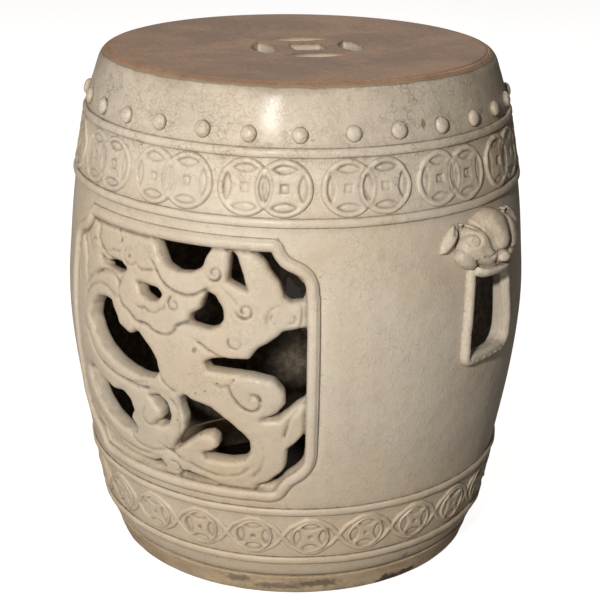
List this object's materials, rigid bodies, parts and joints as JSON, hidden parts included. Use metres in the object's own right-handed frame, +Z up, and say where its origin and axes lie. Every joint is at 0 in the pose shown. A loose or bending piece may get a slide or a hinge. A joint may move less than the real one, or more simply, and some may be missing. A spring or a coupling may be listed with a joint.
{
  "type": "ceramic garden stool",
  "caption": "Glazed barrel garden stool on a turned-in foot, with a pierced flat seat, carved dragon openwork windows, coin bands, a row of nail heads and two lion-mask handles.",
  "frame": {"origin": "on the floor, at the middle of the foot ring, on the barrel's axis", "axes": "+Z up along the barrel's axis; -Y towards the front carved window; +X towards the right, where the right handle sits 7 degrees in front of it"},
  "size_m": [0.4474, 0.4152, 0.45],
  "materials": {
    "barrel_glaze": "glossy cream crackle glaze, greyed by age",
    "seat_clay": "worn matt glaze with brown stain",
    "foot_clay": "thin glaze that ends above a rough bare edge",
    "nail_glaze": "glossy cream glaze, grime round the edge",
    "bead_glaze": "glossy cream glaze, worn on the crest",
    "coin_glaze": "cream glaze pooled grey in the recesses",
    "chain_glaze": "cream glaze pooled grey in the recesses",
    "carving_glaze": "cream crackle glaze over carving, dark in the creases",
    "moulding_glaze": "glossy cream crackle glaze",
    "mask_glaze": "cream glaze over modelled relief, grey in the creases",
    "loop_glaze": "cream glaze, worn at the corners"
  },
  "bodies": {
    "root": {"barrel_wall": "barrel_glaze", "chain_coin_01": "chain_glaze", "chain_coin_02": "chain_glaze", "chain_coin_03": "chain_glaze", "chain_coin_04": "chain_glaze", "chain_coin_05": "chain_glaze", "chain_coin_06": "chain_glaze", "chain_coin_07": "chain_glaze", "chain_coin_08": "chain_glaze", "chain_coin_09": "chain_glaze", "chain_coin_10": "chain_glaze", "chain_coin_11": "chain_glaze", "chain_coin_12": "chain_glaze", "chain_coin_13": "chain_glaze", "chain_coin_14": "chain_glaze", "chain_coin_15": "chain_glaze", "chain_coin_16": "chain_glaze", "chain_coin_17": "chain_glaze", "chain_coin_18": "chain_glaze", "chain_coin_19": "chain_glaze", "chain_coin_20": "chain_glaze", "chain_coin_21": "chain_glaze", "chain_coin_22": "chain_glaze", "chain_coin_23": "chain_glaze", "chain_coin_24": "chain_glaze", "coin_pair_01": "coin_glaze", "coin_pair_02": "coin_glaze", "coin_pair_03": "coin_glaze", "coin_pair_04": "coin_glaze", "coin_pair_05": "coin_glaze", "coin_pair_06": "coin_glaze", "coin_pair_07": "coin_glaze", "coin_pair_08": "coin_glaze", "coin_pair_09": "coin_glaze", "coin_pair_10": "coin_glaze", "coin_pair_11": "coin_glaze", "coin_pair_12": "coin_glaze", "coin_pair_13": "coin_glaze", "coin_pair_14": "coin_glaze", "coin_pair_15": "coin_glaze", "foot_ring": "foot_clay", "front_dragon_panel": "carving_glaze", "front_window_frame": "moulding_glaze", "left_handle_loop": "loop_glaze", "left_lion_mask": "mask_glaze", "lower_band_bottom_bead": "bead_glaze", "lower_band_top_bead": "bead_glaze", "nail_heads": "nail_glaze", "rear_dragon_panel": "carving_glaze", "rear_window_frame": "moulding_glaze", "right_handle_loop": "loop_glaze", "right_lion_mask": "mask_glaze", "seat_slab": "seat_clay", "upper_band_bottom_bead": "bead_glaze", "upper_band_top_bead": "bead_glaze"}
  },
  "joints": []
}
